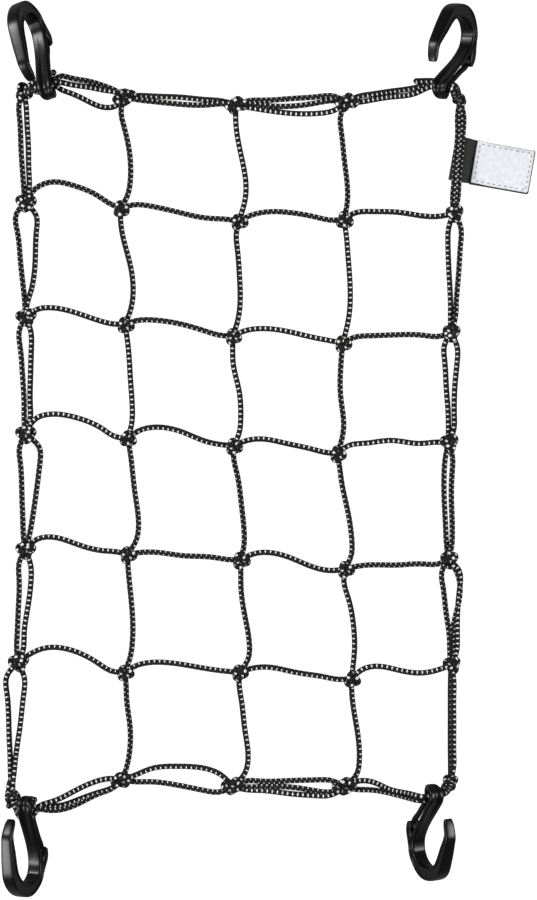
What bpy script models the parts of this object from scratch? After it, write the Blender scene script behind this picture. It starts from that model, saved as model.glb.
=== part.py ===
import math

import bmesh
import bpy
import numpy as np
from mathutils import Matrix, Vector

# A knotted cargo net of thin braided cord, laid flat face up on a surface, with a plastic
# hook on the border cords at each corner and a small cloth label on the right edge.
# Lengths in the tables are millimetres: x to the right, y up the net, z off the surface.

for thing in list(bpy.data.objects):
    bpy.data.objects.remove(thing, do_unlink=True)

mm = 0.001

# ------------------------------------------------------------------ cord and knots
cord_radius = 1.95          # corner radius of the six-sided cord
cord_flat = cord_radius * math.cos(math.pi / 6)
rest_height = cord_flat + 0.03
stations = (0.12, 0.25, 0.5, 0.75, 0.88)
inner_stations = (0.13, 0.32, 0.62, 0.87)

# knot positions, one line per row from the top, columns a to e from the left
knot_rows = (
    ((-167.9, 245.8), (-98.6, 241.7), (-22.3, 236.2), (53.4, 238.2), (131.3, 238.9)),
    ((-166.9, 169.5), (-101.4, 165.6), (-20.5, 156.7), (51.6, 158.0), (127.0, 162.2)),
    ((-166.5, 91.0), (-98.4, 86.1), (-24.5, 78.1), (50.7, 73.2), (124.7, 80.2)),
    ((-166.9, 10.8), (-96.6, 8.2), (-24.0, 2.8), (47.2, -2.4), (123.3, 4.9)),
    ((-166.9, -68.6), (-96.6, -71.4), (-19.2, -75.3), (52.5, -81.5), (123.3, -75.1)),
    ((-171.7, -145.7), (-98.6, -152.2), (-20.1, -152.3), (56.9, -156.7), (125.1, -147.1)),
    ((-176.0, -233.7), (-100.2, -226.0), (-24.5, -230.3), (52.0, -230.5), (124.7, -226.4)),
)
places = {
    column + str(row): spot
    for row, line in enumerate(knot_rows)
    for column, spot in zip("abcde", line)
}

# where the border cords reach the eye of each hook
places.update(tl=(-149.7, 247.8), tr=(118.1, 248.5), bl=(-165.5, -238.9), br=(113.3, -233.7))

# the tables give places as seen from this far above the middle of the net, so what stands
# off the surface lies a little nearer the middle than its table says
seen_from = 1200.0

# height of the cord's centre at each joint; every other knot uses knot_centre
knot_centre = 3.3
heights = {"a0": 9.0, "e0": 13.0, "a6": 9.0, "e6": 13.0, "e1": 3.6}

# each cord: from, to, then its bow to the left of the straight line at the five stations
cross_cords = (
    ("a1", "b1", 10.9, 14.9, 13.6, 7.8, 3.0),
    ("b1", "c1", 3.5, 3.7, 1.5, -0.2, 0.4),
    ("c1", "d1", 3.9, 5.9, 5.2, 1.6, -0.4),
    ("d1", "e1", 4.2, 4.3, 2.7, -1.1, -1.5),
    ("a2", "b2", 6.1, 7.7, 5.5, 1.1, -0.3),
    ("b2", "c2", 3.7, 5.0, 4.4, 1.2, -0.4),
    ("c2", "d2", 4.4, 6.3, 5.5, 2.4, 1.2),
    ("d2", "e2", 3.2, 3.3, 2.2, 0.1, -1.6),
    ("a3", "b3", 11.8, 14.4, 12.6, 5.8, 0.7),
    ("b3", "c3", 6.2, 8.8, 7.1, 1.5, 0.3),
    ("c3", "d3", 4.2, 6.1, 4.4, 1.8, 0.2),
    ("d3", "e3", 4.9, 5.2, 5.3, 1.4, 1.3),
    ("a4", "b4", 7.9, 9.7, 5.6, 1.8, 1.4),
    ("b4", "c4", 1.7, 2.3, 0.9, 0.9, -0.1),
    ("c4", "d4", 4.9, 6.7, 3.8, -1.4, -1.8),
    ("d4", "e4", 1.1, 1.2, -0.5, -1.4, -2.4),
    ("a5", "b5", 7.3, 11.8, 11.6, 4.4, 0.0),
    ("b5", "c5", 5.0, 6.8, 5.4, 2.1, 0.8),
    ("c5", "d5", 3.4, 4.7, 2.2, 0.3, -0.9),
    ("d5", "e5", 5.2, 6.2, 0.7, -2.9, -2.0),
)
upright_cords = (
    ("b0", "b1", -2.0, 0.0, 4.8, 6.0, 4.5),
    ("b1", "b2", -0.2, 1.0, 5.3, 6.3, 4.2),
    ("b2", "b3", 1.3, 2.2, 3.0, 3.8, 3.0),
    ("b3", "b4", 1.8, 3.1, 5.4, 7.6, 5.9),
    ("b4", "b5", 0.7, 1.9, 4.3, 4.8, 3.4),
    ("b5", "b6", 1.2, 1.8, 4.5, 4.5, 2.8),
    ("c0", "c1", -0.4, 0.3, 3.8, 5.5, 3.5),
    ("c1", "c2", -1.1, 0.2, 2.7, 3.8, 2.6),
    ("c2", "c3", -0.1, 0.2, 4.1, 5.1, 4.0),
    ("c3", "c4", -0.3, 1.3, 2.9, 3.7, 2.9),
    ("c4", "c5", 0.3, 0.6, 3.5, 6.8, 6.0),
    ("c5", "c6", 0.6, 2.7, 6.1, 9.4, 7.7),
    ("d0", "d1", -3.8, -3.1, -0.5, 2.1, 1.9),
    ("d1", "d2", 1.7, 2.8, 4.6, 4.5, 2.7),
    ("d2", "d3", -0.3, -0.5, 0.6, 3.4, 2.4),
    ("d3", "d4", 0.9, 1.6, 4.4, 5.9, 4.9),
    ("d4", "d5", -1.3, 0.7, 3.4, 3.1, 1.6),
    ("d5", "d6", 0.7, 2.3, 6.6, 9.0, 7.7),
)
side_cords = (
    ("a0", "a1", -3.1, -2.8, -2.2, -1.2, -0.6),
    ("a0", "a1", 1.6, 2.1, 2.9, 3.1, 3.1),
    ("a1", "a2", -6.3, -5.3, -3.3, -1.3, -0.4),
    ("a1", "a2", 7.8, 7.8, 6.9, 4.4, 1.8),
    ("a2", "a3", -4.2, -3.6, -1.8, -0.6, -0.5),
    ("a2", "a3", 3.7, 4.2, 3.7, 3.6, 3.5),
    ("a3", "a4", -3.7, -3.1, -2.1, -1.4, -1.0),
    ("a3", "a4", 10.0, 10.3, 7.8, 4.9, 2.9),
    ("a4", "a5", -3.4, -2.8, -2.0, -1.7, -1.4),
    ("a4", "a5", 4.4, 5.5, 4.5, 3.1, 3.1),
    ("a5", "a6", -7.3, -6.3, -4.0, -2.0, -1.2),
    ("a5", "a6", 5.0, 5.0, 3.6, 1.7, 1.3),
    ("e1", "e2", -3.2, -3.5, -2.2, -0.6, -0.3),
    ("e1", "e2", 5.0, 5.2, 4.4, 3.3, 2.6),
    ("e2", "e3", -4.1, -3.7, -2.2, -0.5, -0.2),
    ("e2", "e3", 4.6, 5.0, 3.6, 3.6, 3.2),
    ("e3", "e4", -2.1, -3.0, -2.9, -1.9, -1.3),
    ("e3", "e4", 2.7, 2.5, 2.0, 2.6, 1.9),
    ("e4", "e5", -4.8, -4.3, -2.6, -0.7, -0.7),
    ("e4", "e5", 7.4, 7.4, 5.3, 4.7, 3.8),
    ("e5", "e6", -0.9, -1.0, -0.9, -0.8, -0.6),
    ("e5", "e6", 2.0, 2.1, 2.2, 2.3, 2.2),
)
top_cords = (
    ("b0", "c0", 1.7, 2.1, 2.7, 2.3, 2.1),
    ("b0", "c0", -1.5, -1.7, -2.1, -1.4, -0.3),
    ("c0", "d0", 2.8, 2.9, 3.5, 4.4, 4.5),
    ("c0", "d0", -1.9, -3.8, -6.6, -7.1, -5.5),
)
bottom_cords = (
    ("b6", "c6", 4.0, 8.7, 11.5, 11.0, 7.7),
    ("b6", "c6", -0.7, -0.2, -1.4, -4.1, -4.5),
    ("c6", "d6", 3.6, 3.5, 3.9, 4.5, 4.1),
    ("c6", "d6", -2.3, -2.8, -4.9, -6.3, -5.8),
)

# cords that end at a hook: from, hook, which slot place they take, then the bows
hook_cords = (
    ("b0", "tl", 0, -3.5, -5.5, -7.9, -8.7, -9.0),
    ("b0", "tl", 1, -2.7, -3.1, -3.9, -4.3, -4.9),
    ("b0", "tl", 2, 7.2, 8.6, 5.3, 1.3, -0.8),
    ("d0", "tr", 1, 2.5, 2.8, 2.5, 1.4, 0.7),
    ("d0", "tr", 0, -1.2, -1.2, -1.4, -2.2, -2.8),
    ("b6", "bl", 1, -2.5, -2.6, 1.0, 4.2, 4.1),
    ("b6", "bl", 0, 5.9, 8.3, 11.7, 11.9, 9.4),
    ("d6", "br", 0, 3.7, 4.7, -0.2, -2.9, -2.5),
    ("d6", "br", 1, -1.5, -1.4, -2.8, -6.0, -5.5),
)

# the three cords beside the label: bows, then heights at the stations
label_cords = (
    ((-1.2, -0.6, -0.9, -1.2, -1.4), (10.4, 8.9, 8.7, 8.6, 5.4)),
    ((2.8, 3.2, 2.6, 2.2, 2.0), (10.8, 9.1, 8.8, 8.7, 5.6)),
    ((1.5, 2.8, 2.2, 0.6, 0.3), (7.5, 3.2, 3.2, 3.2, 2.6)),
)

# knot bodies: across, along, high for the kinds of knot
inner_knot = (11.2, 10.8, 8.4)
side_knot = (12.4, 15.4, 8.8)
rim_knot = (15.4, 12.4, 8.8)
lobe_angles = (135.0, 225.0, 315.0)

# ------------------------------------------------------------------ hooks
# route of the broad band in the plane of the hook, from the tip round the bend and down the
# back to the shoulder: across, up, thick, wide, side recess, groove in the inner face
band_route = (
    (-54.5, -3.4, 2.9, 4.4, 0.05, 0.0),
    (-54.6, -2.4, 3.5, 5.4, 0.05, 0.0),
    (-54.5, 4.0, 4.0, 6.4, 0.15, 0.0),
    (-53.2, 9.5, 4.8, 7.2, 0.3, 0.0),
    (-47.0, 17.0, 6.2, 8.4, 0.45, 0.0),
    (-39.2, 25.6, 7.6, 8.8, 0.55, 0.0),
    (-35.2, 29.0, 8.4, 9.0, 0.6, 0.0),
    (-30.6, 31.0, 8.8, 9.0, 0.6, 0.0),
    (-24.0, 32.0, 9.0, 9.0, 0.6, 0.0),
    (-17.8, 31.6, 9.0, 9.0, 0.6, 0.0),
    (-12.2, 30.0, 8.8, 9.2, 0.6, 0.0),
    (-7.8, 27.2, 8.5, 9.4, 0.6, 0.0),
    (-3.6, 21.8, 7.8, 9.8, 0.6, 0.0),
    (-1.7, 14.8, 7.3, 10.2, 0.6, 0.0),
    (-1.6, 7.2, 7.2, 10.3, 0.6, 0.0),
    (-1.9, 0.8, 7.0, 9.6, 0.5, 0.0),
    (-2.0, -3.4, 5.0, 7.8, 0.1, 0.0),
)
# the front bar from the shoulder to the eye and round its rounded end
bar_route = (
    (-4.4, 7.8, 2.4, 8.6, 0.05, 0.0),
    (-7.0, 6.2, 2.6, 9.2, 0.05, 0.0),
    (-16.0, 0.2, 2.6, 9.8, 0.05, 0.1),
    (-26.6, -6.4, 2.8, 10.1, 0.05, 0.5),
    (-37.8, -13.2, 3.2, 10.6, 0.05, 1.0),
    (-41.4, -16.2, 3.5, 10.4, 0.05, 0.8),
    (-42.5, -19.6, 3.6, 9.6, 0.05, 0.5),
    (-40.4, -23.2, 3.7, 8.2, 0.05, 0.3),
    (-36.0, -24.9, 3.7, 6.0, 0.05, 0.0),
    (-31.6, -23.9, 3.5, 4.2, 0.05, 0.0),
    (-29.3, -21.6, 3.2, 3.3, 0.05, 0.0),
)
# the slim rear rod from the eye back up to the shoulder: across, up, thick, wide
rod_route = (
    (-32.4, -24.3, 2.8, 2.8),
    (-29.3, -21.6, 3.3, 3.2),
    (-26.0, -17.0, 3.4, 3.1),
    (-18.0, -11.4, 3.4, 3.0),
    (-9.8, -6.8, 3.5, 3.2),
    (-3.6, -3.4, 3.6, 3.5),
    (-1.4, -0.4, 3.4, 3.6),
)
# middles of the cord places in the slot, from the eye end
slot_places = ((-36.8, -18.9), (-33.5, -16.6), (-30.0, -14.0))

# each hook: where its shoulder lies in plan, then turn, pitch and tilt in degrees, and
# which way it is flipped before it is turned
hook_poses = {
    "tr": ((136.7, 265.9), (-3.5, 11.5, 59.0), (1, 1, 1)),
    "tl": ((-152.2, 280.4), (27.0, 33.5, 68.5), (1, 1, 1)),
    "br": ((98.4, -257.3), (7.0, -11.5, -67.5), (-1, -1, 1)),
    "bl": ((-154.8, -275.9), (-11.5, -31.0, 67.5), (1, -1, -1)),
}
hook_names = {
    "tr": "hook_top_right",
    "tl": "hook_top_left",
    "br": "hook_bottom_right",
    "bl": "hook_bottom_left",
}
# how the cords run at each hook: last knot, then the reach before the slot and past it
# along the hook's own normal
hook_runs = {
    "tr": ("e0", -8.0, 7.0),
    "tl": ("a0", 8.0, -8.0),
    "br": ("e6", 6.5, -7.0),
    "bl": ("a6", -8.0, 7.0),
}

# ------------------------------------------------------------------ label
label_centre = (160.2, 193.4)
label_turn = -10.0
label_size = (41.1, 30.4)
label_back_height = (0.0, 1.0)
label_face_height = (3.0, 4.2)
webbing_width = 29.6
corner_round = 2.2
# outline and hole of the folded webbing seen along the cords: along the label, height
webbing_outline = (
    (-12.0, 1.3), (-20.9, 1.3), (-23.8, 0.0), (-32.2, 0.0), (-33.9, 0.5), (-35.0, 1.7),
    (-35.3, 3.2), (-35.0, 4.7), (-33.9, 5.9), (-32.2, 6.4), (-27.6, 6.4), (-25.9, 5.7),
    (-22.2, 3.0), (-20.9, 2.7), (-12.0, 2.7),
)
webbing_hole = (
    (-24.2, 1.0), (-32.2, 1.0), (-33.5, 1.5), (-34.2, 2.4), (-34.3, 3.2), (-34.2, 4.0),
    (-33.5, 4.9), (-32.2, 5.4), (-27.8, 5.4), (-26.5, 4.8), (-23.3, 2.2),
)

net_collection = bpy.data.collections.new("cargo_net")
bpy.context.scene.collection.children.link(net_collection)
work_collection = bpy.data.collections.new("joined_into_net")
bpy.context.scene.collection.children.link(work_collection)


def matte(name, colour, roughness):
    made = bpy.data.materials.new(name)
    made.use_nodes = True
    shader = made.node_tree.nodes["Principled BSDF"]
    shader.inputs["Base Color"].default_value = (*colour, 1.0)
    shader.inputs["Roughness"].default_value = roughness
    shader.inputs["Metallic"].default_value = 0.0
    return made


def place(name, mesh, collection, material=None):
    thing = bpy.data.objects.new(name, mesh)
    collection.objects.link(thing)
    if material is not None:
        mesh.materials.clear()
        mesh.materials.append(material)
    return thing


def mesh_of(thing, name):
    """The evaluated shape of an object as a plain welded mesh."""
    graph = bpy.context.evaluated_depsgraph_get()
    mesh = bpy.data.meshes.new_from_object(thing.evaluated_get(graph))
    mesh.name = name
    shape = bmesh.new()
    shape.from_mesh(mesh)
    bmesh.ops.remove_doubles(shape, verts=shape.verts, dist=0.02 * mm)
    bmesh.ops.dissolve_degenerate(shape, edges=shape.edges, dist=0.01 * mm)
    bmesh.ops.triangulate(shape, faces=shape.faces)
    twins = {}
    for face in shape.faces:
        twins.setdefault(frozenset(face.verts), []).append(face)
    flat = [face for pair in twins.values() if len(pair) > 1 for face in pair]
    bmesh.ops.delete(shape, geom=flat, context="FACES")
    fins = [face for face in shape.faces if any(edge.is_boundary for edge in face.edges)]
    bmesh.ops.delete(shape, geom=fins, context="FACES")
    bmesh.ops.recalc_face_normals(shape, faces=shape.faces)
    shape.to_mesh(mesh)
    shape.free()
    return mesh


def cord_piece(name, points):
    """A six-sided cord with closed ends through the given points."""
    curve = bpy.data.curves.new(name, "CURVE")
    curve.dimensions = "3D"
    curve.twist_mode = "Z_UP"
    curve.bevel_depth = cord_radius * mm
    curve.bevel_resolution = 1
    curve.use_fill_caps = True
    spline = curve.splines.new("POLY")
    spline.points.add(len(points) - 1)
    for knot, spot in zip(spline.points, points):
        knot.co = (spot[0] * mm, spot[1] * mm, spot[2] * mm, 1.0)
    drawn = bpy.data.objects.new(name + "_line", curve)
    bpy.context.scene.collection.objects.link(drawn)
    mesh = mesh_of(drawn, name)
    bpy.data.objects.remove(drawn, do_unlink=True)
    return place(name, mesh, work_collection)


def fall(distance, reach):
    """One at a joint, easing to nothing at the end of its reach."""
    share = min(distance / reach, 1.0)
    return (1.0 - share) ** 2 * (1.0 + 2.0 * share)


def height_of(name):
    return heights.get(name, knot_centre)


def seen(x, y, height):
    """The real place of a point that the tables give as it looks from above."""
    share = 1.0 - height / seen_from
    return (x * share, y * share, height)


def run(start, end, bows, rest=rest_height, levels=None, spread=stations, top=None):
    """Points of one cord between two joints, bowed to the left of the straight line."""
    bows = np.interp(spread, (0.0, *stations, 1.0), (0.0, *bows, 0.0))
    first = np.array(places[start])
    last = np.array(places[end])
    along = last - first
    span = np.linalg.norm(along)
    left = np.array((-along[1], along[0])) / span
    lift_start = height_of(start) - rest
    lift_end = (height_of(end) if top is None else top) - rest
    points = [seen(*first, height_of(start))]
    for number, (share, bow) in enumerate(zip(spread, bows)):
        x, y = first + along * share + left * bow
        height = rest
        height += lift_start * fall(share * span, min(9.0 + 2.6 * lift_start, 52.0))
        height += lift_end * fall((1.0 - share) * span, min(9.0 + 2.6 * lift_end, 52.0))
        if levels is not None:
            height = levels[number]
        points.append(seen(x, y, height))
    points.append(seen(*last, rest + lift_end))
    return points


def knot_piece(name, spot, size, height):
    """A rounded knot with three raised lobes, flattened where it lies on the surface."""
    shape = bmesh.new()
    bmesh.ops.create_uvsphere(shape, u_segments=9, v_segments=6, radius=0.5)
    for point in shape.verts:
        around = math.degrees(math.atan2(point.co.y, point.co.x)) % 360.0
        lobe = 0.0
        for angle in lobe_angles:
            gap = abs((around - angle + 180.0) % 360.0 - 180.0)
            lobe += math.exp(-((gap / 30.0) ** 2))
        level = 1.0 - (2.0 * point.co.z) ** 2
        swell = 0.90 + 0.17 * lobe * level
        middle = seen(*spot, height)
        x = middle[0] + point.co.x * swell * size[0]
        y = middle[1] + point.co.y * swell * size[1]
        z = height + point.co.z * size[2]
        point.co = Vector((x, y, max(z, 0.0))) * mm
    bmesh.ops.remove_doubles(shape, verts=shape.verts, dist=0.05 * mm)
    mesh = bpy.data.meshes.new(name)
    shape.to_mesh(mesh)
    shape.free()
    return place(name, mesh, work_collection)


# ------------------------------------------------------------------ hook shape
def smooth_route(rows, steps):
    """The rows of a route with points added on a smooth curve between them."""
    rows = np.array(rows, float)
    ends = np.vstack((2 * rows[0] - rows[1], rows, 2 * rows[-1] - rows[-2]))
    out = []
    for i in range(1, len(ends) - 2):
        before, start, end, after = ends[i - 1:i + 3]
        for step in range(steps):
            t = step / steps
            out.append(0.5 * (2 * start + (end - before) * t
                              + (2 * before - 5 * start + 4 * end - after) * t * t
                              + (3 * start - before - 3 * end + after) * t ** 3))
    out.append(rows[-1])
    return np.array(out)


def band_section(thick, wide, recess, groove):
    """Ring of (in the plane, across it) points: sunk side faces and a grooved inner face."""
    t = thick / 2
    w = wide / 2
    cut = min(0.7, 0.28 * thick)
    rim = t - cut - min(0.55, 0.2 * thick)
    return (
        (t, -w + cut), (t, w - cut),
        (t - cut, w), (rim, w - recess), (-rim, w - recess), (-t + cut, w),
        (-t, w - cut), (-t, 0.38 * w), (-t + groove, 0.0), (-t, -0.38 * w), (-t, -w + cut),
        (-t + cut, -w), (-rim, -w + recess), (rim, -w + recess), (t - cut, -w),
    )


def rod_section(thick, wide):
    angles = [math.tau * k / 8 for k in range(8)]
    return tuple((thick / 2 * math.cos(a), wide / 2 * math.sin(a)) for a in angles)


def loft(name, route, section):
    """Closed body through one ring per row of the route."""
    route = np.array(route)
    ahead = np.gradient(route[:, :2], axis=0)
    ahead /= np.linalg.norm(ahead, axis=1)[:, None]
    outward = np.stack((-ahead[:, 1], ahead[:, 0]), axis=1)
    shape = bmesh.new()
    rings = []
    for row, side in zip(route, outward):
        ring = []
        for inside, across in section(*row[2:]):
            spot = (row[0] + side[0] * inside, row[1] + side[1] * inside, across)
            ring.append(shape.verts.new(Vector(spot) * mm))
        rings.append(ring)
    count = len(rings[0])
    for near, far in zip(rings, rings[1:]):
        for k in range(count):
            shape.faces.new((near[k], near[(k + 1) % count], far[(k + 1) % count], far[k]))
    for ring, row, step in ((rings[0], route[0], -ahead[0]), (rings[-1], route[-1], ahead[-1])):
        tip = (row[0] + 0.5 * step[0], row[1] + 0.5 * step[1], 0.0)
        peak = shape.verts.new(Vector(tip) * mm)
        for k in range(count):
            shape.faces.new((ring[k], ring[(k + 1) % count], peak))
    bmesh.ops.triangulate(shape, faces=shape.faces)
    bmesh.ops.recalc_face_normals(shape, faces=shape.faces)
    mesh = bpy.data.meshes.new(name)
    shape.to_mesh(mesh)
    shape.free()
    return mesh


def pose_of(corner):
    """Turn and place of a hook, dropped so that its lowest point meets the surface."""
    spot, (turn, pitch, tilt), flip = hook_poses[corner]
    turned = (
        Matrix.Rotation(math.radians(turn), 4, "Z")
        @ Matrix.Rotation(math.radians(pitch), 4, "X")
        @ Matrix.Rotation(math.radians(tilt), 4, "Y")
        @ Matrix.Diagonal((*flip, 1))
    )
    low = min((turned @ point.co).z for point in hook_shape.vertices)
    return Matrix.Translation((spot[0] * mm, spot[1] * mm, 0.01 * mm - low)) @ turned


def outer_first(thick, wide, recess, groove):
    """Band section with its inner face on the tip's side."""
    return tuple((-a, b) for a, b in band_section(thick, wide, recess, groove))


black_plastic = matte("black_plastic", (0.012, 0.012, 0.013), 0.34)
black_cord = matte("black_cord", (0.03, 0.03, 0.032), 0.8)
webbing_black = matte("black_webbing", (0.02, 0.02, 0.021), 0.85)
back_black = matte("black_backing", (0.025, 0.025, 0.026), 0.8)
face_white = matte("silver_white_cloth", (0.82, 0.82, 0.85), 0.45)

band = place("band", loft("band", band_route, outer_first), work_collection)
bar = place("bar", loft("bar", bar_route, outer_first), work_collection)
rod = place("rod", loft("rod", rod_route, rod_section), work_collection)
for other in (bar, rod):
    joined = band.modifiers.new(other.name, "BOOLEAN")
    joined.operation = "UNION"
    joined.solver = "EXACT"
    joined.object = other
hook_shape = mesh_of(band, "hook_shape")
for piece in (band, bar, rod):
    bpy.data.objects.remove(piece, do_unlink=True)

hook_at = {corner: pose_of(corner) for corner in hook_poses}
for corner, matrix in hook_at.items():
    mesh = hook_shape.copy()
    mesh.transform(matrix)
    if matrix.determinant() < 0:
        mesh.flip_normals()
    place(hook_names[corner], mesh, net_collection, black_plastic.copy())

# ------------------------------------------------------------------ net
pieces = []
for group in (cross_cords, upright_cords, side_cords, top_cords, bottom_cords):
    spread = inner_stations if group in (cross_cords, upright_cords) else stations
    for number, (start, end, *bows) in enumerate(group):
        beside = number > 0 and group[number - 1][:2] == (start, end)
        rest = rest_height + (0.3 if beside else 0.0) + 0.015 * (number % 5)
        points = run(start, end, bows, rest, spread=spread)
        pieces.append(cord_piece("cord_" + start + "_" + end + "_" + str(len(pieces)), points))

for number, (bows, levels) in enumerate(label_cords):
    points = run("e0", "e1", bows, levels=levels)
    pieces.append(cord_piece("cord_by_label_" + str(number), points))

for number, (start, corner, slot, *bows) in enumerate(hook_cords):
    knot, before, past = hook_runs[corner]
    across, up = slot_places[slot]
    inside = [Vector((across, up, step)) * mm for step in (before, 0.0, past)]
    inside = [tuple(value / mm for value in hook_at[corner] @ spot) for spot in inside]
    points = run(start, corner, bows, top=inside[0][2])[:-1]
    side = 1.3 * (1 - slot)
    points += [*inside, seen(places[knot][0] + side, places[knot][1], height_of(knot) + side)]
    points = points[:4] + smooth_route(points[4:], 2).tolist()
    pieces.append(cord_piece("cord_to_" + corner + "_" + str(number), points))

for name, spot in places.items():
    if name in hook_poses:
        continue
    size = inner_knot
    if name[0] in "ae":
        size = side_knot
    elif name[1] in "06":
        size = rim_knot
    height = max(height_of(name), 0.48 * size[2])
    pieces.append(knot_piece("knot_" + name, spot, size, height))

base = pieces.pop()
work_collection.objects.unlink(base)
bpy.context.scene.collection.objects.link(base)
union = base.modifiers.new("all cords and knots", "BOOLEAN")
union.operation = "UNION"
union.solver = "EXACT"
union.operand_type = "COLLECTION"
union.collection = work_collection
base.data = mesh_of(base, "net_joined")
base.modifiers.clear()
thinned = base.modifiers.new("fewer faces", "DECIMATE")
thinned.ratio = 0.72
net_mesh = mesh_of(base, "net")
bpy.data.objects.remove(base, do_unlink=True)
for piece in pieces:
    bpy.data.objects.remove(piece, do_unlink=True)
bpy.data.collections.remove(work_collection)
place("net", net_mesh, net_collection, black_cord)


# ------------------------------------------------------------------ label
def flat_curve(name, outlines, depth):
    """A solid of even depth from closed outlines drawn in its own plane."""
    curve = bpy.data.curves.new(name, "CURVE")
    curve.dimensions = "2D"
    curve.fill_mode = "BOTH"
    curve.extrude = depth / 2 * mm
    for outline in outlines:
        spline = curve.splines.new("POLY")
        spline.points.add(len(outline) - 1)
        spline.use_cyclic_u = True
        for knot, spot in zip(spline.points, outline):
            knot.co = (spot[0] * mm, spot[1] * mm, 0.0, 1.0)
    drawn = bpy.data.objects.new(name + "_line", curve)
    bpy.context.scene.collection.objects.link(drawn)
    mesh = mesh_of(drawn, name)
    bpy.data.objects.remove(drawn, do_unlink=True)
    return mesh


def label_outline(length, width):
    """Cloth outline, square at the webbing and rounded at the free corners."""
    points = [(-length / 2, width / 2), (-length / 2, -width / 2)]
    for side, start in ((-1, -90), (1, 0)):
        middle = (length / 2 - corner_round, side * (width / 2 - corner_round))
        for step in range(4):
            angle = math.radians(start + 30 * step)
            points.append((middle[0] + corner_round * math.cos(angle),
                           middle[1] + corner_round * math.sin(angle)))
    return points


label_place = (
    Matrix.Translation((label_centre[0] * mm, label_centre[1] * mm, 0.0))
    @ Matrix.Rotation(math.radians(label_turn), 4, "Z")
)
cloths = (
    ("label_back", label_back_height, label_size, back_black),
    ("label_face", label_face_height, (label_size[0] - 0.6, label_size[1] - 0.6), face_white),
)
for name, (bottom, top), (length, width), material in cloths:
    mesh = flat_curve(name, [label_outline(length, width)], top - bottom)
    middle = Matrix.Translation((0.0, 0.0, (bottom + top) / 2 * mm))
    mesh.transform(label_place @ middle)
    place(name, mesh, net_collection, material)

webbing = flat_curve("label_loop", [webbing_outline, webbing_hole], webbing_width)
webbing.transform(label_place @ Matrix.Rotation(math.pi / 2, 4, "X"))
place("label_loop", webbing, net_collection, webbing_black)

# ------------------------------------------------------------------ centred on the surface
every = [point.co for thing in net_collection.objects for point in thing.data.vertices]
low = [min(spot[axis] for spot in every) for axis in range(3)]
high = [max(spot[axis] for spot in every) for axis in range(3)]
shift = Vector((-(low[0] + high[0]) / 2, -(low[1] + high[1]) / 2, -low[2]))
for thing in net_collection.objects:
    thing.data.transform(Matrix.Translation(shift))
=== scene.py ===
import bmesh
import bpy
import math
import numpy as np
from mathutils import Matrix, Vector


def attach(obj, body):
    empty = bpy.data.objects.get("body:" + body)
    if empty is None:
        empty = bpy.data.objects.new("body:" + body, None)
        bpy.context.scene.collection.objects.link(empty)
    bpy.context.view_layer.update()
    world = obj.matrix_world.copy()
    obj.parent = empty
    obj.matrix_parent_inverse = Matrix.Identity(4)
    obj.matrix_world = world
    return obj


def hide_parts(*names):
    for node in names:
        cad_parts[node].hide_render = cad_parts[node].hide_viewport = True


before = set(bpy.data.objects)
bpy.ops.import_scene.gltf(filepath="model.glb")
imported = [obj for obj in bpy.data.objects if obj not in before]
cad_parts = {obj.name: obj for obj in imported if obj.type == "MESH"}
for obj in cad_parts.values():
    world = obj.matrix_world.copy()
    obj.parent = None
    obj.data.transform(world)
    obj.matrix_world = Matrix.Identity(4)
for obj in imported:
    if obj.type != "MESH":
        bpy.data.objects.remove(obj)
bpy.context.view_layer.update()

# lengths in the tables are millimetres: x to the right, y up the net, z off the floor
mm = 0.001
# moves what was read over the photograph so that the solids' box has its middle at the origin
shift = (-0.805, -0.984, 0.0)

# camera straight above: its height, the length of floor that it sees, the height of its sensor
cameraSettings = {"height": 1200.0, "span": 616.5, "sensor": 24.0}
cameraData = bpy.data.cameras.new("camera")
cameraData.sensor_fit = "VERTICAL"
cameraData.sensor_height = cameraSettings["sensor"]
cameraData.lens = cameraSettings["sensor"] * cameraSettings["height"] / cameraSettings["span"]
cameraData.dof.use_dof = False
camera = bpy.data.objects.new("camera", cameraData)
camera.location = (shift[0] * mm, shift[1] * mm, cameraSettings["height"] * mm)
bpy.context.scene.collection.objects.link(camera)
bpy.context.scene.camera = camera

# strength of the sky; name, place and size in metres, and watts of each soft panel
lightSettings = {
    "sky": 0.1,
    "panels": (
        ("upperLeftPanel", (-1.3, 0.8, 0.95), (0.45, 0.5), 19.0),
        ("lowerLeftPanel", (-1.3, -0.75, 0.95), (0.6, 0.5), 16.0),
        ("rightPanel", (1.35, -0.1, 0.95), (1.0, 0.5), 22.5),
    ),
}
bpy.context.scene.view_settings.view_transform = "Standard"
world = bpy.data.worlds.new("plainSky")
bpy.context.scene.world = world
world.use_nodes = True
sky = world.node_tree.nodes["Background"]
sky.inputs["Color"].default_value = (1.0, 1.0, 1.0, 1.0)
sky.inputs["Strength"].default_value = lightSettings["sky"]
for name, spot, size, power in lightSettings["panels"]:
    lightData = bpy.data.lights.new(name, "AREA")
    lightData.shape = "RECTANGLE"
    lightData.size, lightData.size_y = size
    lightData.energy = power
    light = bpy.data.objects.new(name, lightData)
    light.location = spot
    light.rotation_euler = (-Vector(spot)).to_track_quat("-Z", "Y").to_euler()
    bpy.context.scene.collection.objects.link(light)
print("camera and light stand")


def mathNode(tree, operation, *values):
    node = tree.nodes.new("ShaderNodeMath")
    node.operation = operation
    for socket, value in zip(node.inputs, values):
        if isinstance(value, (int, float)):
            socket.default_value = value
        else:
            tree.links.new(value, socket)
    return node.outputs[0]


def plus(tree, a, b):
    return mathNode(tree, "ADD", a, b)


def minus(tree, a, b):
    return mathNode(tree, "SUBTRACT", a, b)


def times(tree, a, b):
    return mathNode(tree, "MULTIPLY", a, b)


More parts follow.
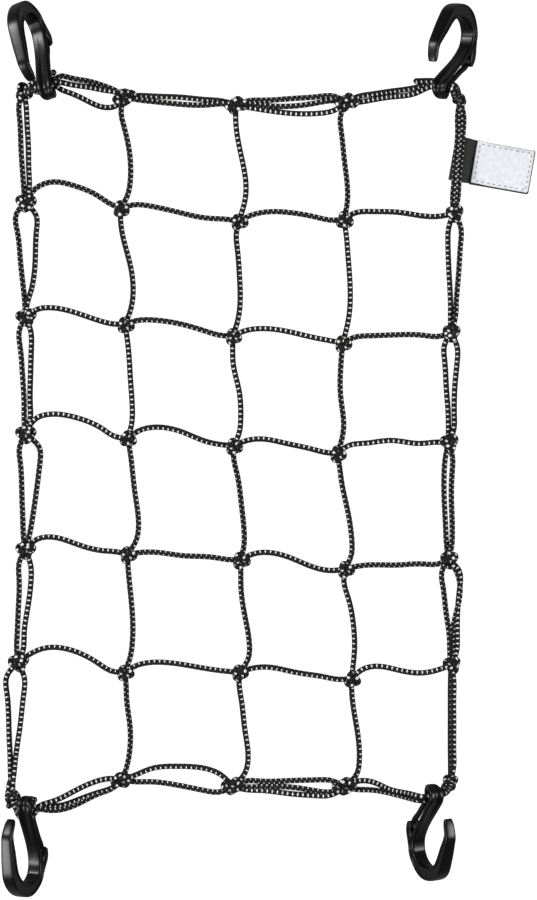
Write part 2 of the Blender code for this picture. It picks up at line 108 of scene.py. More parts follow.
def newGroup(name, outputs, inputs=()):
    # outputs are names, inputs are names with their first values, and all of them are numbers
    group = bpy.data.node_groups.new(name, "ShaderNodeTree")
    for label in outputs:
        group.interface.new_socket(label, in_out="OUTPUT", socket_type="NodeSocketFloat")
    for label, value in inputs:
        socket = group.interface.new_socket(label, in_out="INPUT", socket_type="NodeSocketFloat")
        socket.default_value = value
    return group, group.nodes.new("NodeGroupOutput")


def useGroup(tree, group):
    node = tree.nodes.new("ShaderNodeGroup")
    node.node_tree = group
    return node


def uvParts(group, name):
    # the piece's own pattern coordinates, whole and as two numbers
    uv = group.nodes.new("ShaderNodeUVMap")
    uv.uv_map = name
    split = group.nodes.new("ShaderNodeSeparateXYZ")
    group.links.new(uv.outputs["UV"], split.inputs[0])
    return uv.outputs["UV"], split.outputs[0], split.outputs[1]


def newMaterial(name, colour, rough, shine=0.5):
    material = bpy.data.materials.new(name)
    material.use_nodes = True
    shader = material.node_tree.nodes["Principled BSDF"]
    shader.inputs["Base Color"].default_value = (*colour, 1.0)
    shader.inputs["Roughness"].default_value = rough
    shader.inputs["Specular IOR Level"].default_value = shine
    return material, material.node_tree, shader


def mixColour(tree, amount, dark, pale):
    node = tree.nodes.new("ShaderNodeMix")
    node.data_type = "RGBA"
    tree.links.new(amount, node.inputs["Factor"])
    for socket, value in ((node.inputs["A"], dark), (node.inputs["B"], pale)):
        if isinstance(value, tuple):
            socket.default_value = (*value, 1.0)
        else:
            tree.links.new(value, socket)
    return node.outputs["Result"]


def bumpFrom(tree, shader, height, distance):
    bump = tree.nodes.new("ShaderNodeBump")
    bump.inputs["Distance"].default_value = distance
    tree.links.new(height, bump.inputs["Height"])
    tree.links.new(bump.outputs["Normal"], shader.inputs["Normal"])


# the braid of the cord
braid = {
    "yarns": 3,  # round the cord, in each of the two hands
    "lead": 3.5,  # length of cord in which a yarn goes once round
    "slide": 4.0,  # leads within which each cord starts its braid
    "white": (0.86, 0.86, 0.84),
    "black": (0.006, 0.006, 0.0065),
    "grey": (0.02, 0.02, 0.021),  # painted highlight on the crest of a black yarn
    "rough": 0.55,
    "shine": 0.12,
    "rim": (0.22, 0.62),  # how far the cord turns away while the white fades
    "relief": 0.3,
    "float": (0.68, 1.05),  # half sizes of the white oval, round the cord and along it
    "threads": 4.0,  # in one yarn
    "threadHeight": 0.06,  # as a share of the yarn's
}


def braidGroup():
    # the yarns cross in two hands, numbered round the cord; on a diamond with an even sum of numbers
    # the first hand lies on top and on the others the second; its height is the cosine across the
    # yarn times half plus half a cosine along it, with the fine cosine of its threads added; one
    # yarn of the first hand is white, an oval in the sum and the difference of the two coordinates
    group, out = newGroup("braid", ("Height", "White", "Ridge"))
    uv, around, along = uvParts(group, "braid")
    count = float(braid["yarns"])
    first = times(group, minus(group, around, along), count)
    second = times(group, plus(group, around, along), count)
    firstNumber = mathNode(group, "FLOOR", first)
    secondNumber = mathNode(group, "FLOOR", second)
    firstPart = minus(group, mathNode(group, "FRACT", first), 0.5)
    secondPart = minus(group, mathNode(group, "FRACT", second), 0.5)
    odd = mathNode(group, "FLOORED_MODULO", plus(group, firstNumber, secondNumber), 2.0)
    even = minus(group, 1.0, odd)
    across = plus(group, times(group, firstPart, even), times(group, secondPart, odd))
    length = plus(group, times(group, secondPart, even), times(group, firstPart, odd))
    crown = mathNode(group, "COSINE", times(group, across, math.pi))
    swell = mathNode(group, "COSINE", times(group, length, math.pi))
    ridge = times(group, crown, mathNode(group, "MULTIPLY_ADD", swell, 0.5, 0.5))
    threads = mathNode(group, "COSINE", times(group, across, math.tau * braid["threads"]))
    height = plus(group, ridge, times(group, threads, braid["threadHeight"]))
    tracer = mathNode(group, "LESS_THAN", mathNode(group, "FLOORED_MODULO", firstNumber, count), 0.5)
    roundPart = mathNode(group, "DIVIDE", plus(group, across, length), braid["float"][0])
    axisPart = mathNode(group, "DIVIDE", minus(group, length, across), braid["float"][1])
    oval = plus(group, times(group, roundPart, roundPart), times(group, axisPart, axisPart))
    white = times(group, times(group, tracer, even), mathNode(group, "LESS_THAN", oval, 1.0))
    group.links.new(height, out.inputs["Height"])
    group.links.new(white, out.inputs["White"])
    group.links.new(ridge, out.inputs["Ridge"])
    return group


cordMaterial, tree, shader = newMaterial("braidedCord", braid["black"], braid["rough"], braid["shine"])
braidNode = useGroup(tree, braidGroup())
# the crests of the black yarns are painted a lighter grey: a painted highlight where light would fall on
# them
yarnWithPaintedHighlight = mixColour(tree, braidNode.outputs["Ridge"], braid["black"], braid["grey"])
# the raised black yarns hide the white floats where the cord turns away
facing = tree.nodes.new("ShaderNodeLayerWeight").outputs["Facing"]
fadeStart, fadeEnd = braid["rim"]
turnedAway = mathNode(tree, "DIVIDE", minus(tree, facing, fadeStart), fadeEnd - fadeStart)
shown = minus(tree, 1.0, turnedAway)
shown.node.use_clamp = True
whitePart = times(tree, braidNode.outputs["White"], shown)
tree.links.new(mixColour(tree, whitePart, yarnWithPaintedHighlight, braid["white"]), shader.inputs["Base Color"])
bumpFrom(tree, shader, braidNode.outputs["Height"], braid["relief"] * mm)
print("cord material made")

# the net: knots of the rows 0 to 6 in the columns a to e, then where cords enter the hooks
knotRows = (
    ((-167.9, 245.8), (-98.6, 241.7), (-22.3, 236.2), (53.4, 238.2), (131.3, 238.9)),
    ((-166.9, 169.5), (-101.4, 165.6), (-20.5, 156.7), (51.6, 158.0), (127.0, 162.2)),
    ((-166.5, 91.0), (-98.4, 86.1), (-24.5, 78.1), (50.7, 73.2), (124.7, 80.2)),
    ((-166.9, 10.8), (-96.6, 8.2), (-24.0, 2.8), (47.2, -2.4), (123.3, 4.9)),
    ((-166.9, -68.6), (-96.6, -71.4), (-19.2, -75.3), (52.5, -81.5), (123.3, -75.1)),
    ((-171.7, -145.7), (-98.6, -152.2), (-20.1, -152.3), (56.9, -156.7), (125.1, -147.1)),
    ((-176.0, -233.7), (-100.2, -226.0), (-24.5, -230.3), (52.0, -230.5), (124.7, -226.4)),
)
places = {
    column + str(row): spot
    for row, line in enumerate(knotRows)
    for column, spot in zip("abcde", line)
}
places.update(tl=(-149.7, 247.8), tr=(118.1, 248.5), bl=(-165.5, -238.9), br=(113.3, -233.7))
# height of a knot's middle, and of those that lie higher
knotCentre = 3.3
heights = {"a0": 9.0, "e0": 13.0, "a6": 9.0, "e6": 13.0, "e1": 3.6}
# shares of the straight line between two knots at which a cord's bow is read
stations = (0.12, 0.25, 0.5, 0.75, 0.88)

# from, to, bow to the left of the straight line at the five stations
crossCords = (
    ("a1", "b1", 10.9, 14.9, 13.6, 7.8, 3.0),
    ("b1", "c1", 3.5, 3.7, 1.5, -0.2, 0.4),
    ("c1", "d1", 3.9, 5.9, 5.2, 1.6, -0.4),
    ("d1", "e1", 4.2, 4.3, 2.7, -1.1, -1.5),
    ("a2", "b2", 6.1, 7.7, 5.5, 1.1, -0.3),
    ("b2", "c2", 3.7, 5.0, 4.4, 1.2, -0.4),
    ("c2", "d2", 4.4, 6.3, 5.5, 2.4, 1.2),
    ("d2", "e2", 3.2, 3.3, 2.2, 0.1, -1.6),
    ("a3", "b3", 11.8, 14.4, 12.6, 5.8, 0.7),
    ("b3", "c3", 6.2, 8.8, 7.1, 1.5, 0.3),
    ("c3", "d3", 4.2, 6.1, 4.4, 1.8, 0.2),
    ("d3", "e3", 4.9, 5.2, 5.3, 1.4, 1.3),
    ("a4", "b4", 7.9, 9.7, 5.6, 1.8, 1.4),
    ("b4", "c4", 1.7, 2.3, 0.9, 0.9, -0.1),
    ("c4", "d4", 4.9, 6.7, 3.8, -1.4, -1.8),
    ("d4", "e4", 1.1, 1.2, -0.5, -1.4, -2.4),
    ("a5", "b5", 7.3, 11.8, 11.6, 4.4, 0.0),
    ("b5", "c5", 5.0, 6.8, 5.4, 2.1, 0.8),
    ("c5", "d5", 3.4, 4.7, 2.2, 0.3, -0.9),
    ("d5", "e5", 5.2, 6.2, 0.7, -2.9, -2.0),
)
uprightCords = (
    ("b0", "b1", -2.0, 0.0, 4.8, 6.0, 4.5),
    ("b1", "b2", -0.2, 1.0, 5.3, 6.3, 4.2),
    ("b2", "b3", 1.3, 2.2, 3.0, 3.8, 3.0),
    ("b3", "b4", 1.8, 3.1, 5.4, 7.6, 5.9),
    ("b4", "b5", 0.7, 1.9, 4.3, 4.8, 3.4),
    ("b5", "b6", 1.2, 1.8, 4.5, 4.5, 2.8),
    ("c0", "c1", -0.4, 0.3, 3.8, 5.5, 3.5),
    ("c1", "c2", -1.1, 0.2, 2.7, 3.8, 2.6),
    ("c2", "c3", -0.1, 0.2, 4.1, 5.1, 4.0),
    ("c3", "c4", -0.3, 1.3, 2.9, 3.7, 2.9),
    ("c4", "c5", 0.3, 0.6, 3.5, 6.8, 6.0),
    ("c5", "c6", 0.6, 2.7, 6.1, 9.4, 7.7),
    ("d0", "d1", -3.8, -3.1, -0.5, 2.1, 1.9),
    ("d1", "d2", 1.7, 2.8, 4.6, 4.5, 2.7),
    ("d2", "d3", -0.3, -0.5, 0.6, 3.4, 2.4),
    ("d3", "d4", 0.9, 1.6, 4.4, 5.9, 4.9),
    ("d4", "d5", -1.3, 0.7, 3.4, 3.1, 1.6),
    ("d5", "d6", 0.7, 2.3, 6.6, 9.0, 7.7),
)
sideCords = (
    ("a0", "a1", -3.1, -2.8, -2.2, -1.2, -0.6),
    ("a0", "a1", 1.6, 2.1, 2.9, 3.1, 3.1),
    ("a1", "a2", -6.3, -5.3, -3.3, -1.3, -0.4),
    ("a1", "a2", 7.8, 7.8, 6.9, 4.4, 1.8),
    ("a2", "a3", -4.2, -3.6, -1.8, -0.6, -0.5),
    ("a2", "a3", 3.7, 4.2, 3.7, 3.6, 3.5),
    ("a3", "a4", -3.7, -3.1, -2.1, -1.4, -1.0),
    ("a3", "a4", 10.0, 10.3, 7.8, 4.9, 2.9),
    ("a4", "a5", -3.4, -2.8, -2.0, -1.7, -1.4),
    ("a4", "a5", 4.4, 5.5, 4.5, 3.1, 3.1),
    ("a5", "a6", -7.3, -6.3, -4.0, -2.0, -1.2),
    ("a5", "a6", 5.0, 5.0, 3.6, 1.7, 1.3),
    ("e1", "e2", -3.2, -3.5, -2.2, -0.6, -0.3),
    ("e1", "e2", 5.0, 5.2, 4.4, 3.3, 2.6),
    ("e2", "e3", -4.1, -3.7, -2.2, -0.5, -0.2),
    ("e2", "e3", 4.6, 5.0, 3.6, 3.6, 3.2),
    ("e3", "e4", -2.1, -3.0, -2.9, -1.9, -1.3),
    ("e3", "e4", 2.7, 2.5, 2.0, 2.6, 1.9),
    ("e4", "e5", -4.8, -4.3, -2.6, -0.7, -0.7),
    ("e4", "e5", 7.4, 7.4, 5.3, 4.7, 3.8),
    ("e5", "e6", -0.3, -0.4, -0.3, -0.2, 0.0),
    ("e5", "e6", 1.4, 1.5, 1.6, 1.7, 1.6),
)
topCords = (
    ("b0", "c0", 1.7, 2.1, 2.7, 2.3, 2.1),
    ("b0", "c0", -1.5, -1.7, -2.1, -1.4, -0.3),
    ("c0", "d0", 2.8, 2.9, 3.5, 4.4, 4.5),
    ("c0", "d0", -1.9, -3.8, -6.6, -7.1, -5.5),
)
bottomCords = (
    ("b6", "c6", 4.0, 8.7, 11.5, 11.0, 7.7),
    ("b6", "c6", -0.7, -0.2, -1.4, -4.1, -4.5),
    ("c6", "d6", 3.6, 3.5, 3.9, 4.5, 4.1),
    ("c6", "d6", -2.3, -2.8, -4.9, -6.3, -5.8),
)
# third cords that the pairs partly hide
thirdCords = (
    ("c0", "d0", 0.4, -0.7, -1.7, 0.3, 1.4),
    ("e4", "e5", 5.4, 7.4, 4.6, 1.0, 1.0),
    ("c6", "d6", -0.6, -0.3, -0.4, -3.1, -3.7),
)
# from, hook, place in the slot, bows
hookCords = (
    ("b0", "tl", 0, -3.5, -5.5, -7.9, -8.7, -9.0),
    ("b0", "tl", 1, -2.7, -3.1, -3.9, -4.3, -4.9),
    ("b0", "tl", 2, 7.2, 8.6, 5.3, 1.3, -0.8),
    ("d0", "tr", 1, 2.5, 2.8, 2.6, 2.6, 2.8),
    ("d0", "tr", 0, -1.2, -1.2, -1.3, -1.0, -0.9),
    ("b6", "bl", 1, -2.5, -2.6, 1.0, 5.2, 6.4),
    ("b6", "bl", 0, 4.4, 6.0, 10.3, 11.4, 8.8),
    ("b6", "bl", 2, 4.0, 5.2, 7.6, 8.4, 7.4),
    ("d6", "br", 0, 3.7, 4.7, -0.2, -2.9, -2.5),
    ("d6", "br", 1, -1.5, -1.4, -2.8, -6.0, -5.5),
)
# beside the label: bows, and heights at the stations
labelCords = (
    ((-1.2, -0.6, -0.9, -1.2, -1.4), (10.4, 8.9, 8.7, 8.6, 5.4)),
    ((2.8, 3.2, 2.6, 2.2, 2.0), (10.8, 9.1, 8.8, 8.7, 5.6)),
    ((1.5, 2.8, 2.2, 0.6, 0.3), (7.5, 3.2, 3.2, 3.2, 2.6)),
)

# the cord itself
cord = {
    "radius": 1.93,
    "sides": 14,
    "step": 1.0,  # between two rings
    "endCut": 0.98,  # where the quarter circle of an open end stops, as a share of the radius
    "reach": (9.0, 2.6, 52.0),  # of the fall beside a knot: least, more for each mm of lift, most
}


def seen(x, y, height):
    # a place read on the floor, moved to where the camera sees it at this height:
    # x and y times one minus the height over the camera's height
    share = 1.0 - height / cameraSettings["height"]
    return (x * share, y * share, height)


def splinePath(points, step):
    # natural cubic spline over the chord length, its bends solved as one set of equations,
    # worked out four times as fine as the steps and then read again at even distances
    points = np.array(points, float)
    chord = np.linalg.norm(np.diff(points, axis=0), axis=1)
    mark = np.concatenate(([0.0], np.cumsum(chord)))
    count = len(points)
    left = np.eye(count)
    right = np.zeros((count, points.shape[1]))
    inner = np.arange(1, count - 1)
    left[inner, inner - 1] = chord[:-1]
    left[inner, inner] = 2.0 * (chord[:-1] + chord[1:])
    left[inner, inner + 1] = chord[1:]
    slope = np.diff(points, axis=0) / chord[:, None]
    right[inner] = 6.0 * np.diff(slope, axis=0)
    bend = np.linalg.solve(left, right)
    fine = np.linspace(0.0, mark[-1], max(int(mark[-1] / step * 4), 8))
    cell = np.clip(np.searchsorted(mark, fine) - 1, 0, count - 2)
    wide = chord[cell][:, None]
    b = (fine - mark[cell])[:, None] / wide
    a = 1.0 - b
    path = a * points[cell] + b * points[cell + 1]
    path += ((a ** 3 - a) * bend[cell] + (b ** 3 - b) * bend[cell + 1]) * wide ** 2 / 6.0
    run = np.concatenate(([0.0], np.cumsum(np.linalg.norm(np.diff(path[:, :3], axis=0), axis=1))))
    even = np.linspace(0.0, run[-1], max(int(round(run[-1] / step)), 3) + 1)
    return np.stack([np.interp(even, run, path[:, k]) for k in range(path.shape[1])], axis=1)


def frameAlong(path, closed):
    # ahead is the way from the place before to the place after, side is ahead crossed with straight up,
    # up is side crossed with ahead, and each has length one
    if closed:
        ahead = np.roll(path, -1, axis=0) - np.roll(path, 1, axis=0)
    else:
        ahead = np.gradient(path, axis=0)
    ahead /= np.linalg.norm(ahead, axis=1)[:, None]
    side = np.cross(ahead, (0.0, 0.0, 1.0))
    side /= np.linalg.norm(side, axis=1)[:, None]
    return side, np.cross(side, ahead)


def ringFaces(rings, sides, closed=False):
    # quads from each ring to the next, and from the last to the first where the path is closed
    i = np.arange(rings if closed else rings - 1)[:, None]
    k = np.arange(sides)[None, :]
    near, far, after = i * sides, (i + 1) % rings * sides, (k + 1) % sides
    return np.stack((near + k, near + after, far + after, far + k), axis=-1).reshape(-1, 4)


def gridFaces(rows, columns, offset=0, flip=False):
    # quads of a grid whose first corner has the number offset
    i, k = np.arange(rows - 1)[:, None], np.arange(columns - 1)[None, :]
    a = offset + i * columns + k
    quad = np.stack((a, a + columns, a + columns + 1, a + 1), axis=-1).reshape(-1, 4)
    return quad[:, ::-1] if flip else quad


def sheetFaces(rows, columns):
    # an upper grid, the lower grid that follows it, and quads that join the two round their rim
    count = rows * columns
    index = np.arange(count).reshape(rows, columns)
    rim = np.concatenate((index[0, :-1], index[:-1, -1], index[-1, :0:-1], index[:0:-1, 0]))
    after = np.roll(rim, -1)
    wall = np.stack((rim, after, after + count, rim + count), axis=-1)[:, ::-1]
    return np.concatenate((gridFaces(rows, columns, 0, True), gridFaces(rows, columns, count), wall))


def tube(path, turn=0.0, start=0.0, closed=False):
    # the path plus the radius times side by the cosine and up by the sine of even angles round it;
    # the radius shrinks as a quarter circle at an open end, and the braid's coordinates are the
    # share round and the leads along, a whole number of them where the path is closed
    side, up = frameAlong(path, closed)
    radius, sides = cord["radius"], cord["sides"]
    rings = len(path)
    run = np.concatenate(([0.0], np.cumsum(np.linalg.norm(np.diff(path, axis=0), axis=1))))
    if closed:
        size = np.full(rings, radius)
        run = np.append(run, run[-1] + np.linalg.norm(path[0] - path[-1]))
        leads = run / braid["lead"]
        along = start + leads * round(leads[-1]) / leads[-1]
    else:
        gap = np.minimum(run, run[-1] - run) / radius
        size = radius * np.sqrt(1.0 - np.clip(1.0 - gap, 0.0, cord["endCut"]) ** 2)
        along = start + run / braid["lead"]
    angle = np.arange(sides) * math.tau / sides + turn
    ring = side[:, None] * np.cos(angle)[None, :, None] + up[:, None] * np.sin(angle)[None, :, None]
    verts = path[:, None] + size[:, None, None] * ring
    i, k = np.arange(len(along) - 1)[:, None], np.arange(sides)[None, :]
    corners = ((k, i), (k + 1, i), (k + 1, i + 1), (k, i + 1))
    uv = np.stack([np.stack(np.broadcast_arrays(a / sides, along[b]), axis=-1) for a, b in corners], axis=2)
    return verts.reshape(-1, 3), ringFaces(rings, sides, closed), uv.reshape(-1, 2)


def meshPiece(name, parts, material, uvName="braid"):
    # quads of all the parts in one mesh, written with whole arrays
    verts, faces, uvs, base = [], [], [], 0
    for v, f, uv in parts:
        verts.append(v)
        faces.append(f + base)
        uvs.append(uv)
        base += len(v)
    verts, faces, uvs = np.concatenate(verts), np.concatenate(faces), np.concatenate(uvs)
    mesh = bpy.data.meshes.new(name)
    mesh.vertices.add(len(verts))
    mesh.vertices.foreach_set("co", ((verts + shift) * mm).ravel())
    mesh.loops.add(faces.size)
    mesh.loops.foreach_set("vertex_index", faces.ravel())
    mesh.polygons.add(len(faces))
    mesh.polygons.foreach_set("loop_start", np.arange(len(faces)) * 4)
    layer = mesh.uv_layers.new(name=uvName)
    layer.data.foreach_set("uv", uvs.ravel())
    mesh.polygons.foreach_set("use_smooth", np.full(len(faces), True))
    mesh.update(calc_edges=True)
    mesh.validate()
    mesh.materials.append(material)
    piece = bpy.data.objects.new(name, mesh)
    bpy.context.scene.collection.objects.link(piece)
    return piece


def fall(distance, reach):
    # one at the knot and nothing from the reach on, level at both ends: one minus the share of
    # the reach, squared, times one plus twice the share
    share = np.minimum(distance / reach, 1.0)
    return (1.0 - share) ** 2 * (1.0 + 2.0 * share)


def cordRun(start, end, bows, levels=None, top=None):
    # the stations of one cord, bowed to the left of the straight line, lifted to its knots
    first, last = np.array(places[start]), np.array(places[end])
    along = last - first
    span = np.linalg.norm(along)
    left = np.array((-along[1], along[0])) / span
    rest = cord["radius"]
    startLift = heights.get(start, knotCentre) - rest
    endLift = (heights.get(end, knotCentre) if top is None else top) - rest
    least, more, most = cord["reach"]
    startReach, endReach = (min(least + more * lift, most) for lift in (startLift, endLift))
    points = [seen(*first, rest + startLift)]
    for number, (share, bow) in enumerate(zip(stations, bows)):
        spot = first + along * share + left * bow
        height = rest + startLift * fall(share * span, startReach)
        height += endLift * fall((1.0 - share) * span, endReach)
        points.append(seen(*spot, height if levels is None else levels[number]))
    points.append(seen(*last, rest + endLift))
    return points


# the hook lying flat; a row is across, up, thickness and width, then for the band and the
# shoulder the share of the side recess and of the groove
hook = {
    "tip": (
        (-54.4, -2.2, 3.3, 5.6, 0.0, 0.0),
        (-54.5, -1.0, 3.6, 6.2, 0.1, 0.0),
        (-54.5, 5.6, 4.3, 7.1, 0.2, 0.0),
        (-53.8, 8.6, 4.8, 7.4, 0.3, 0.0),
        (-51.4, 12.0, 5.3, 7.7, 0.35, 0.0),
    ),
    "bow": (
        (-47.0, 17.0, 6.2, 8.4, 0.45, 0.0),
        (-39.2, 25.6, 7.6, 8.8, 0.55, 0.0),
        (-35.2, 29.0, 8.4, 9.0, 0.6, 0.0),
        (-30.6, 31.0, 8.8, 9.0, 0.6, 0.0),
        (-24.0, 32.0, 9.0, 9.0, 0.6, 0.0),
        (-17.8, 31.6, 9.0, 9.0, 0.6, 0.0),
        (-12.2, 30.0, 8.8, 9.2, 0.6, 0.0),
        (-7.8, 27.2, 8.5, 9.4, 0.6, 0.0),
        (-3.6, 21.8, 7.8, 9.8, 0.6, 0.0),
    ),
    # where the back limb turns into the front bar
    "throat": (
        (-1.9, 15.8, 7.2, 10.2, 0.6, 0.0),
        (-2.9, 12.2, 6.6, 10.1, 0.5, 0.0),
        (-5.0, 8.7, 5.5, 9.9, 0.4, 0.0),
        (-8.3, 5.6, 4.3, 9.7, 0.2, 0.0),
        (-12.0, 2.9, 3.3, 9.7, 0.1, 0.15),
    ),
    # the front bar and the eye
    "bar": (
        (-16.0, 0.2, 2.6, 9.8, 0.05, 0.1),
        (-26.6, -6.4, 2.8, 10.1, 0.05, 0.5),
        (-37.8, -13.2, 3.2, 10.6, 0.05, 1.0),
        (-41.4, -16.2, 3.5, 10.4, 0.05, 0.8),
        (-42.5, -19.6, 3.6, 9.6, 0.05, 0.5),
        (-40.4, -23.2, 3.7, 8.2, 0.05, 0.3),
        (-36.0, -24.9, 3.7, 6.0, 0.05, 0.0),
        (-31.6, -23.9, 3.5, 4.2, 0.05, 0.0),
        (-29.3, -21.6, 3.2, 3.3, 0.05, 0.0),
    ),
    "shoulder": (
        (0.5, 15.4, 2.8, 9.2, 0.0, 0.0),
        (0.4, 12.5, 3.4, 9.3, 0.0, 0.0),
        (-0.5, 9.0, 5.2, 9.4, 0.0, 0.0),
        (-1.5, 4.5, 7.2, 9.5, 0.1, 0.0),
        (-1.9, 0.8, 7.0, 9.4, 0.2, 0.0),
        (-2.0, -3.2, 5.0, 7.8, 0.1, 0.0),
    ),
    "rod": (
        (-32.4, -24.3, 2.8, 2.8),
        (-29.3, -21.6, 3.3, 3.2),
        (-26.0, -17.0, 3.7, 3.2),
        (-18.0, -11.4, 4.1, 3.3),
        (-9.8, -6.8, 4.4, 3.6),
        (-3.6, -3.4, 4.4, 3.9),
        (-1.4, -0.4, 3.4, 3.6),
    ),
    "slot": ((-36.8, -18.9), (-33.5, -16.6), (-30.0, -14.0)),  # where cords pass between bar and rod
    "step": 1.1,  # between two rings
    "round": 0.9,  # radius of the rounded ends
    "roundShare": 0.45,  # and no more than this share of the end's thickness
    "caps": (25.0, 50.0, 72.0),  # degrees of the rings that round an end
    "cuts": 2,  # times that the corners of a ring are cut
    "sunk": 1.6,  # depth of a full side recess
    "channel": 1.5,  # depth of a full groove
    # height of the edge, the rim, the slope and the bed of the sides: most, and share of the thickness
    "sides": ((0.7, 0.28), (0.8, 0.15), (0.4, 0.08), (0.6, 0.1)),
    "lip": (0.2, 0.3),  # the groove's half width, and what full depth adds, as shares of the band's
    "rodSides": 12,
    "lift": 0.01,  # off the floor
    "sharp": 40.0,  # degrees
    "black": (0.002, 0.002, 0.0024),
    "rough": 0.31,
    "shine": 0.33,
    "grain": 900.0,
    "relief": 0.02,
}
# of each hook: its place, its turns about z, x and y in degrees, its mirror signs, the knot beyond it
# and the depths in its slot, across the band, that its cords pass
hooks = {
    "tr": {"piece": "topRightHook", "node": "hook_top_right", "spot": (136.7, 265.9),
           "turns": (-3.5, 11.5, 59.0), "flip": (1, 1, 1), "knot": "e0", "through": (-8.0, 0.0, 4.9)},
    "tl": {"piece": "topLeftHook", "node": "hook_top_left", "spot": (-152.2, 280.4),
           "turns": (27.0, 33.5, 68.5), "flip": (1, 1, 1), "knot": "a0", "through": (0.0, -8.0)},
    "br": {"piece": "bottomRightHook", "node": "hook_bottom_right", "spot": (98.4, -257.3),
           "turns": (7.0, -11.5, -67.5), "flip": (-1, -1, 1), "knot": "e6", "through": (6.5, 0.0, -7.0)},
    "bl": {"piece": "bottomLeftHook", "node": "hook_bottom_left", "spot": (-154.8, -275.9),
           "turns": (-11.5, -31.0, 67.5), "flip": (1, -1, -1), "knot": "a6", "through": (0.0, 7.0)},
}


def bandSection(thick, wide, recess, groove):
    # in the plane and across it: side faces sunk between two rims, and a grooved inner face
    t, w = thick / 2, wide / 2
    recess, groove = hook["sunk"] * recess, hook["channel"] * groove
    cut, rim, slope, bed = (np.minimum(most, share * thick) for most, share in hook["sides"])
    crest = t - cut
    inner = crest - rim
    foot = inner - slope
    floor = foot - bed
    lip = w * (hook["lip"][0] + hook["lip"][1] * np.minimum(groove, 1.0))
    side = ((crest, w), (inner, w), (foot, w - recess), (floor, w - recess))
    rows = ((-t, w - cut), (-t, lip), (groove - t, 0 * w), (-t, -lip), (-t, cut - w),
            *((-x, -y) for x, y in side), *((x, -y) for x, y in side[::-1]),
            (t, cut - w), (t, w - cut), *side, *((-x, y) for x, y in side[::-1]))
    return np.stack([np.stack(row, axis=-1) for row in rows], axis=1)


def rodSection(thick, wide):
    # an ellipse: half the thickness by the cosine and half the width by the sine
    angle = -np.arange(hook["rodSides"]) * math.tau / hook["rodSides"]
    return np.stack((thick[:, None] / 2 * np.cos(angle), wide[:, None] / 2 * np.sin(angle)), axis=-1)


def loftPart(rows, section):
    # rings along a smooth route, each at right angles to it: the route's place plus the section's
    # first number times the way out, with the second as its height; every ring has its corners cut
    # a quarter along each edge, and the end rings step out and shrink as a sine and a cosine
    route = splinePath(rows, hook["step"])
    ahead = np.gradient(route[:, :2], axis=0)
    ahead /= np.linalg.norm(ahead, axis=1)[:, None]
    caps = np.radians(hook["caps"])
    r = min(hook["round"], hook["roundShare"] * min(route[0, 2], route[-1, 2]))
    ends = []
    for end, sign in ((0, -1), (-1, 1)):
        cap = np.repeat(route[end][None], len(caps), axis=0)
        cap[:, :2] += sign * ahead[end] * (r * np.sin(caps))[:, None]
        cap[:, 2:4] -= 2 * r * (1 - np.cos(caps))[:, None]
        ends.append((cap[::sign], np.repeat(ahead[end][None], len(caps), axis=0)))
    route, ahead = (np.concatenate(run) for run in zip(ends[0], (route, ahead), ends[1]))
    ring = section(*route[:, 2:].T)
    for cut in range(hook["cuts"]):
        after = np.roll(ring, -1, axis=1)
        ring = np.stack((0.75 * ring + 0.25 * after, 0.25 * ring + 0.75 * after), axis=2)
        ring = ring.reshape(len(route), -1, 2)
    outward = np.stack((-ahead[:, 1], ahead[:, 0]), axis=1)
    flat = route[:, None, :2] + outward[:, None] * ring[..., :1]
    verts = np.concatenate((flat, ring[..., 1:]), axis=-1)
    count, size = verts.shape[:2]
    # each end closes with quads across its ring
    j = np.arange(size // 2 - 1)
    lid = np.stack((j, j + 1, size - 2 - j, size - 1 - j), axis=-1)
    faces = np.concatenate((ringFaces(count, size), lid[:, ::-1], lid + (count - 1) * size))
    return verts.reshape(-1, 3), faces, np.zeros((faces.size, 2))


hookMaterial, tree, shader = newMaterial("satinBlackPlastic", hook["black"], hook["rough"], hook["shine"])
texture = tree.nodes.new("ShaderNodeTexCoord")
grain = tree.nodes.new("ShaderNodeTexNoise")
grain.inputs["Scale"].default_value = hook["grain"]
tree.links.new(texture.outputs["Object"], grain.inputs["Vector"])
bumpFrom(tree, shader, grain.outputs["Fac"], hook["relief"] * mm)
bendRows = hook["tip"] + hook["bow"] + hook["throat"] + hook["bar"]
hookParts = [
    loftPart(bendRows, bandSection),
    loftPart(hook["shoulder"], bandSection),
    loftPart(hook["rod"], rodSection),
]
for own in hooks.values():
    turn, pitch, tilt = (math.radians(angle) for angle in own["turns"])
    turned = np.array(Matrix.Rotation(turn, 3, "Z") @ Matrix.Rotation(pitch, 3, "X")
                      @ Matrix.Rotation(tilt, 3, "Y") @ Matrix.Diagonal(own["flip"]))
    low = min((verts @ turned.T)[:, 2].min() for verts, faces, uv in hookParts)
    place = np.array((*own["spot"], hook["lift"] - low))
    own["turned"], own["place"] = turned, place
    parts = [(verts @ turned.T + place, faces, uv) for verts, faces, uv in hookParts]
    piece = meshPiece(own["piece"], parts, hookMaterial)
    shape = bmesh.new()
    shape.from_mesh(piece.data)
    bmesh.ops.recalc_face_normals(shape, faces=shape.faces)
    shape.to_mesh(piece.data)
    shape.free()
    piece.data.set_sharp_from_angle(angle=math.radians(hook["sharp"]))
    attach(piece, "root")
    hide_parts(own["node"])
print("hooks made")

seed = 7
chance = np.random.default_rng(seed)


def cordTube(points):
    # one cord through its points, its middle never lower than its radius
    path = splinePath(points, cord["step"])
    path[:, 2] = np.maximum(path[:, 2], cord["radius"])
    start, turn = chance.uniform(0, braid["slide"]), chance.uniform(0, math.tau)
    return tube(path, turn, start)


def liftOver(group, number):
    # a cord that comes closer in plan than a cord's width to the one before it rides over it
    start, end, *bows = group[number]
    if number and group[number - 1][:2] == (start, end):
        gap = np.abs(np.array(bows) - np.array(group[number - 1][2:]))
        return np.sqrt(np.clip((2 * cord["radius"]) ** 2 - gap ** 2, 0.0, None))
    return np.zeros(len(bows))


